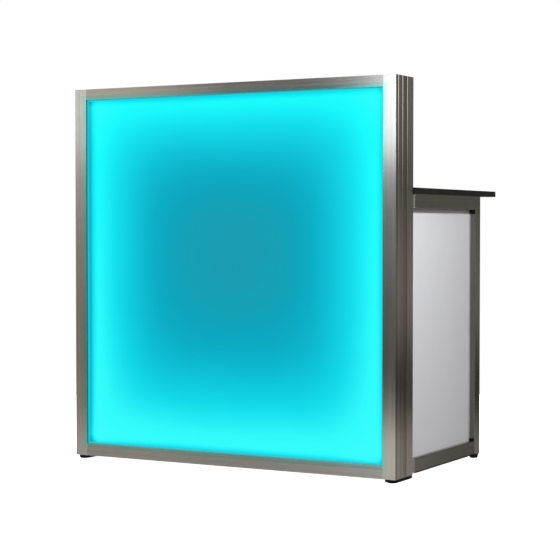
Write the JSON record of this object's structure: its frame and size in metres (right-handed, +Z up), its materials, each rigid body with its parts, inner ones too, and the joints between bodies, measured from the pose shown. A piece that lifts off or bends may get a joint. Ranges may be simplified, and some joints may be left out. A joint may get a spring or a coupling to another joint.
{
  "type": "dj booth",
  "caption": "Free-standing DJ booth: tall edge-lit front panel in a brushed metal frame, folding side wings with white panels, black worktop that lifts off, levelling feet.",
  "frame": {"origin": "on the floor, under the middle of the booth's overall box", "axes": "+Z up; the lit front faces -Y, the worktop and the person behind it are on the +Y side; +X is to the right seen from the front"},
  "size_m": [1.22, 0.816, 1.265],
  "materials": {
    "brushed_metal": "brushed along the length, satin",
    "opal_diffuser": "opal sheet, lit from behind in cyan",
    "silicone": "translucent, satin",
    "white_panel": "satin white sheet",
    "circuit_board": "white solder mask",
    "led_chip": "clear potting",
    "black_rubber": "matte",
    "black_laminate": "fine-grained black laminate",
    "steel": "zinc plated",
    "black_plastic": "fine texture",
    "grey_sheet": "fine powder coat",
    "driver_case": "satin"
  },
  "bodies": {
    "front_unit": {"base_plates": "black_plastic", "control_box_case": "grey_sheet", "control_box_cover": "grey_sheet", "corner_brackets": "steel", "diffuser_gasket": "silicone", "frame_bolts": "steel", "frame_screws": "steel", "frame_spacers": "steel", "front_diffuser": "opal_diffuser", "front_post_left": "brushed_metal", "front_post_right": "brushed_metal", "front_rail_bottom": "brushed_metal", "front_rail_top": "brushed_metal", "hinge_leaves_fixed": "steel", "hinge_pins": "steel", "inlet_contacts": "steel", "inlet_socket": "black_plastic", "led_chips": "led_chip", "led_driver": "driver_case", "led_lead": "black_rubber", "led_strips": "circuit_board", "ledger_rail": "brushed_metal", "light_box_back_panel": "white_panel", "post_top_plugs": "black_plastic", "rear_bottom_rail": "brushed_metal", "switch_bezel": "black_plastic", "tall_post_left": "brushed_metal", "tall_post_right": "brushed_metal", "worktop_pads": "black_rubber"},
    "worktop": {"worktop_board": "black_laminate", "worktop_edging": "black_laminate", "worktop_dowels": "steel"},
    "rocker": {"rocker_switch": "black_plastic"},
    "colour_push": {"colour_button": "black_plastic"},
    "brightness_push": {"brightness_button": "black_plastic"},
    "wing_right": {"hinge_leaves_wing_right": "steel", "hinge_screws_wing_right": "steel", "wing_bottom_rail_right": "brushed_metal", "wing_end_caps_right": "black_plastic", "wing_hinge_stile_right": "brushed_metal", "wing_panel_clips_right": "black_plastic", "wing_panel_right": "white_panel", "wing_rear_post_right": "brushed_metal", "wing_top_rail_right": "brushed_metal"},
    "wing_left": {"hinge_leaves_wing_left": "steel", "hinge_screws_wing_left": "steel", "wing_bottom_rail_left": "brushed_metal", "wing_end_caps_left": "black_plastic", "wing_hinge_stile_left": "brushed_metal", "wing_panel_clips_left": "black_plastic", "wing_panel_left": "white_panel", "wing_rear_post_left": "brushed_metal", "wing_top_rail_left": "brushed_metal"},
    "foot_front_left_turn": {"foot_front_left": "black_rubber"},
    "foot_front_right_turn": {"foot_front_right": "black_rubber"},
    "foot_tall_left_turn": {"foot_tall_left": "black_rubber"},
    "foot_tall_right_turn": {"foot_tall_right": "black_rubber"},
    "foot_wing_left_turn": {"foot_wing_left": "black_rubber"},
    "foot_wing_right_turn": {"foot_wing_right": "black_rubber"}
  },
  "joints": [
    {"name": "wing_right_fold", "type": "hinge", "parent": "front_unit", "child": "wing_right", "pos_m": [0.555, -0.274, 0.455], "axis": [0, 0, 1], "range_deg": [0, 90]},
    {"name": "wing_left_fold", "type": "hinge", "parent": "front_unit", "child": "wing_left", "pos_m": [-0.555, -0.274, 0.455], "axis": [0, 0, -1], "range_deg": [0, 90]},
    {"name": "worktop_lift", "type": "slide", "parent": "front_unit", "child": "worktop", "axis": [0, 0, 1], "range_m": [0, 0.4]},
    {"name": "rocker_tip", "type": "hinge", "parent": "front_unit", "child": "rocker", "pos_m": [0.216, -0.284, 0.636], "axis": [-1, 0, 0], "range_deg": [0, 16]},
    {"name": "colour_press", "type": "slide", "parent": "front_unit", "child": "colour_push", "axis": [0, -1, 0], "range_m": [0, 0.0015], "stiffness_N_per_m": 300},
    {"name": "brightness_press", "type": "slide", "parent": "front_unit", "child": "brightness_push", "axis": [0, -1, 0], "range_m": [0, 0.0015], "stiffness_N_per_m": 300},
    {"name": "foot_front_left_level", "type": "hinge", "parent": "front_unit", "child": "foot_front_left_turn", "pos_m": [-0.5855, -0.386, 0.02], "axis": [0, 0, 1], "continuous": true},
    {"name": "foot_front_right_level", "type": "hinge", "parent": "front_unit", "child": "foot_front_right_turn", "pos_m": [0.5855, -0.386, 0.02], "axis": [0, 0, 1], "continuous": true},
    {"name": "foot_tall_left_level", "type": "hinge", "parent": "front_unit", "child": "foot_tall_left_turn", "pos_m": [-0.5855, -0.301, 0.02], "axis": [0, 0, 1], "continuous": true},
    {"name": "foot_tall_right_level", "type": "hinge", "parent": "front_unit", "child": "foot_tall_right_turn", "pos_m": [0.5855, -0.301, 0.02], "axis": [0, 0, 1], "continuous": true},
    {"name": "foot_wing_left_level", "type": "hinge", "parent": "wing_left", "child": "foot_wing_left_turn", "pos_m": [-0.5905, 0.263, 0.02], "axis": [0, 0, 1], "continuous": true},
    {"name": "foot_wing_right_level", "type": "hinge", "parent": "wing_right", "child": "foot_wing_right_turn", "pos_m": [0.5905, 0.263, 0.02], "axis": [0, 0, 1], "continuous": true}
  ]
}
